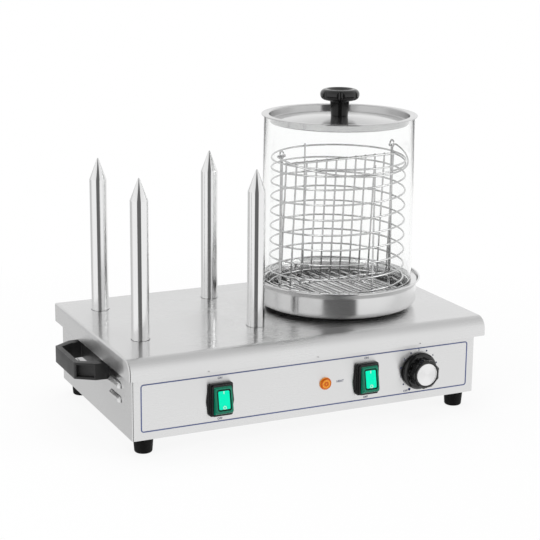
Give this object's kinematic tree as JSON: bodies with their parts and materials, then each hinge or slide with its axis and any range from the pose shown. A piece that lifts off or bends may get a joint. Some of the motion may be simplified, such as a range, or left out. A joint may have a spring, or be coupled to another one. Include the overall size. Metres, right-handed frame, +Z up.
{
  "type": "hot dog toaster",
  "caption": "Counter-top toaster with upright heated spikes for rolls and a lidded glass steam cylinder with a wire basket, on a sheet steel case with switches and a dial.",
  "frame": {"origin": "middle of the part's footprint, on the surface that the feet stand on", "axes": "+X to the right as seen from the switches' side, +Y to the back where the cable gland is, +Z up"},
  "size_m": [0.57, 0.3126, 0.4203],
  "materials": {
    "case_steel": "fine satin brushed sheet",
    "polished_steel": "mirror polished",
    "screw_steel": "plated",
    "heater_steel": "dull heated metal",
    "plate_iron": "dark cast",
    "wire_chrome": "bright plated wire",
    "nut_brass": "plain",
    "cap_aluminium": "radially brushed",
    "foot_rubber": "matt",
    "seal_rubber": "matt",
    "black_plastic": "fine grain",
    "gloss_black": "polished",
    "rocker_green": "clear tinted",
    "lamp_orange": "clear tinted",
    "print_blue": "screen print",
    "white_plastic": "plain",
    "white_ceramic": "unglazed",
    "wire_plastic": "insulated",
    "clear_glass": "clear"
  },
  "bodies": {
    "casing": {"top_cover": "case_steel", "housing_front": "case_steel", "housing_sides": "case_steel", "housing_back": "case_steel", "base_tray": "case_steel", "case_screws": "screw_steel", "feet": "foot_rubber", "panel_line": "print_blue", "handle_left": "black_plastic", "handle_right": "black_plastic", "spike_tubes": "polished_steel", "spike_rings": "screw_steel", "spike_nuts": "nut_brass", "spike_cartridges": "heater_steel", "spike_beads": "white_ceramic", "plate_seal": "seal_rubber", "hot_plate": "plate_iron", "plate_element": "heater_steel", "plate_bracket": "case_steel", "switch_hood_left": "black_plastic", "switch_hood_right": "black_plastic", "switch_body_left": "black_plastic", "switch_body_right": "black_plastic", "switch_tabs": "nut_brass", "lamp_lens": "lamp_orange", "lamp_body": "white_plastic", "thermostat_body": "nut_brass", "thermostat_nut": "screw_steel", "thermostat_bulb": "nut_brass", "terminal_block": "white_plastic", "cable_gland": "black_plastic", "gland_nut": "black_plastic", "wiring": "wire_plastic"},
    "pan": {"water_pan": "polished_steel", "glass_seat": "polished_steel", "steam_plate": "case_steel"},
    "glass": {"glass_cylinder": "clear_glass"},
    "lid": {"lid": "polished_steel", "lid_knob": "gloss_black", "lid_screw": "screw_steel"},
    "basket": {"basket_base": "wire_chrome", "basket_coil_1": "wire_chrome", "basket_coil_2": "wire_chrome", "basket_coil_3": "wire_chrome", "basket_coil_4": "wire_chrome", "basket_coil_5": "wire_chrome", "basket_coil_6": "wire_chrome", "basket_coil_7": "wire_chrome", "basket_coil_8": "wire_chrome", "basket_coil_9": "wire_chrome", "basket_top_ring": "wire_chrome", "basket_uprights": "wire_chrome", "basket_divider": "wire_chrome"},
    "bail": {"basket_bail": "wire_chrome"},
    "rocker_left": {"rocker_left": "rocker_green"},
    "rocker_right": {"rocker_right": "rocker_green"},
    "knob": {"thermostat_knob": "black_plastic", "knob_cap": "cap_aluminium", "knob_mark": "white_plastic", "thermostat_shaft": "screw_steel"}
  },
  "joints": [
    {"name": "pan_lift", "type": "slide", "parent": "casing", "child": "pan", "axis": [0, 0, 1], "range_m": [0, 0.15]},
    {"name": "glass_lift", "type": "slide", "parent": "pan", "child": "glass", "axis": [0, 0, 1], "range_m": [0, 0.24]},
    {"name": "lid_lift", "type": "slide", "parent": "glass", "child": "lid", "axis": [0, 0, 1], "range_m": [0, 0.5]},
    {"name": "basket_lift", "type": "slide", "parent": "pan", "child": "basket", "axis": [0, 0, 1], "range_m": [0, 0.25]},
    {"name": "bail_swing", "type": "hinge", "parent": "basket", "child": "bail", "pos_m": [0.103, 0, 0.3365], "axis": [-0.9966, -0.0819, 0], "range_deg": [0, 199]},
    {"name": "rocker_left_tilt", "type": "hinge", "parent": "casing", "child": "rocker_left", "pos_m": [-0.128, -0.1383, 0.0608], "axis": [1, 0, 0], "range_deg": [0, 22]},
    {"name": "rocker_right_tilt", "type": "hinge", "parent": "casing", "child": "rocker_right", "pos_m": [0.079, -0.1383, 0.0608], "axis": [1, 0, 0], "range_deg": [0, 22]},
    {"name": "knob_turn", "type": "hinge", "parent": "casing", "child": "knob", "pos_m": [0.1583, -0.15, 0.0608], "axis": [0, -1, 0], "range_deg": [0, 304]}
  ],
  "couplings": [
    {"joint": "basket_lift", "follows": "lid_lift", "ratio": 0.5},
    {"joint": "bail_swing", "follows": "lid_lift", "rad_per_m": 3.47}
  ]
}
